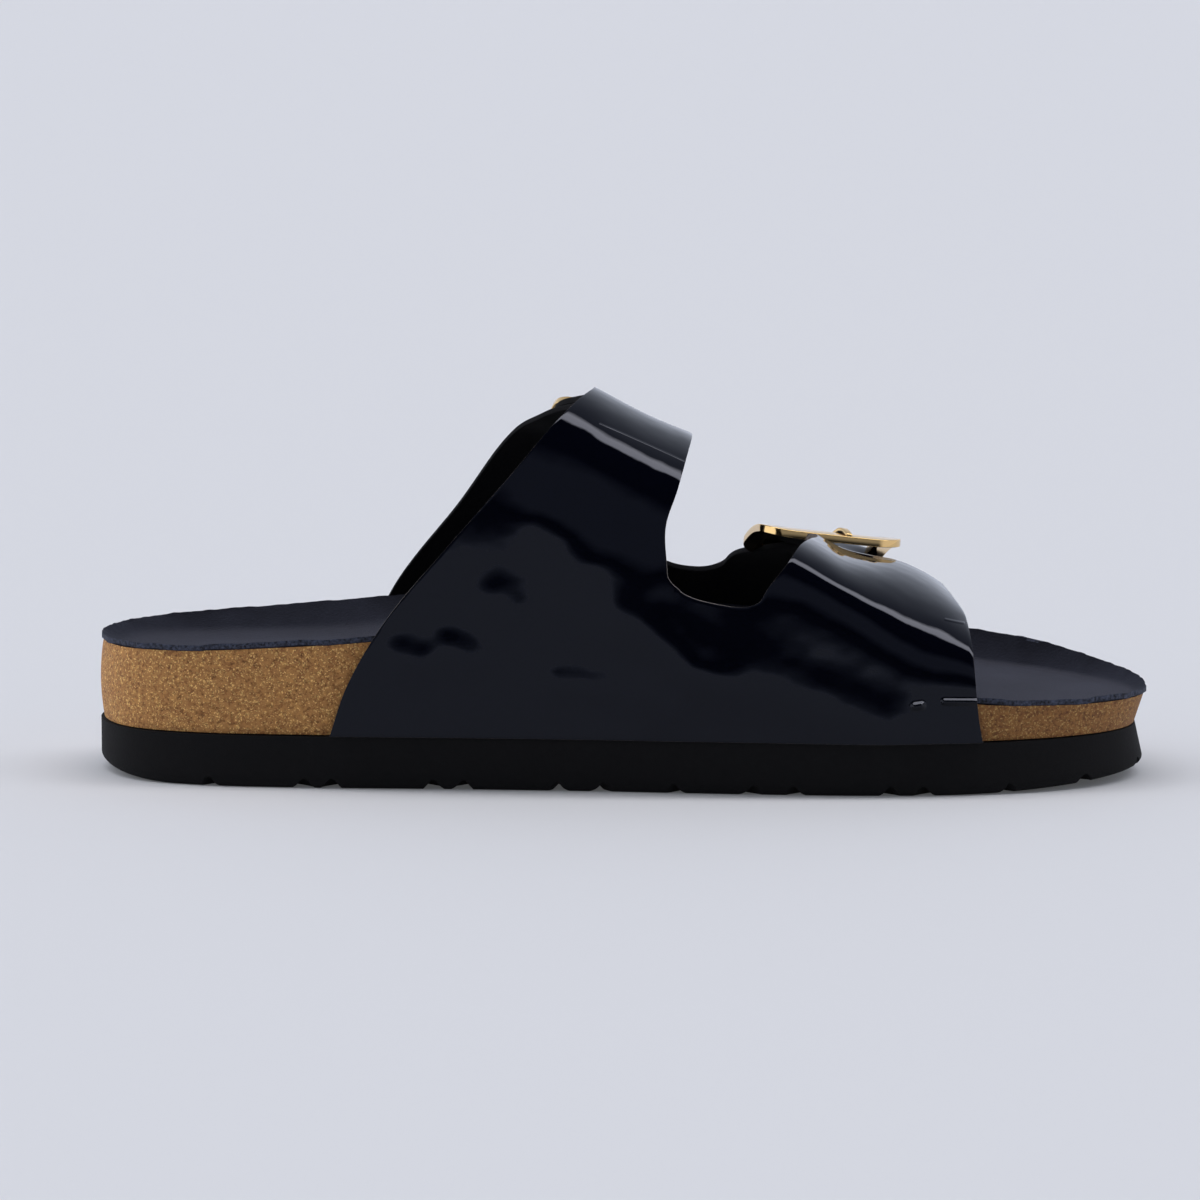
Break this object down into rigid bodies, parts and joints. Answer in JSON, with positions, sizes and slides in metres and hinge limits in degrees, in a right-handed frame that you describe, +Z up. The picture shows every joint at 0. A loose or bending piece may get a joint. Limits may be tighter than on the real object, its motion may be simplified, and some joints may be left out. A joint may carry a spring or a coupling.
{
  "type": "footbed sandal",
  "caption": "Backless footbed sandal for the left foot: patent straps with oversize buckles on a cork footbed and treaded foam sole.",
  "frame": {"origin": "middle of the footprint box, on the floor under the sole", "axes": "+X from heel to toe, -Y to the inner side of the foot, +Z up"},
  "size_m": [0.252, 0.0986, 0.0925],
  "materials": {
    "foam_rubber": "matte black foam rubber",
    "cork": "sanded cork granulate",
    "suede": "black-blue suede",
    "patent_leather": "black patent leather",
    "gilt_metal": "polished pale gold"
  },
  "bodies": {
    "root": {"outsole": "foam_rubber", "footbed_cork": "cork", "footbed_liner": "suede", "upper": "patent_leather", "buckle_front_frame": "gilt_metal", "buckle_front_prong": "gilt_metal", "buckle_rear_frame": "gilt_metal", "buckle_rear_prong": "gilt_metal"}
  },
  "joints": []
}
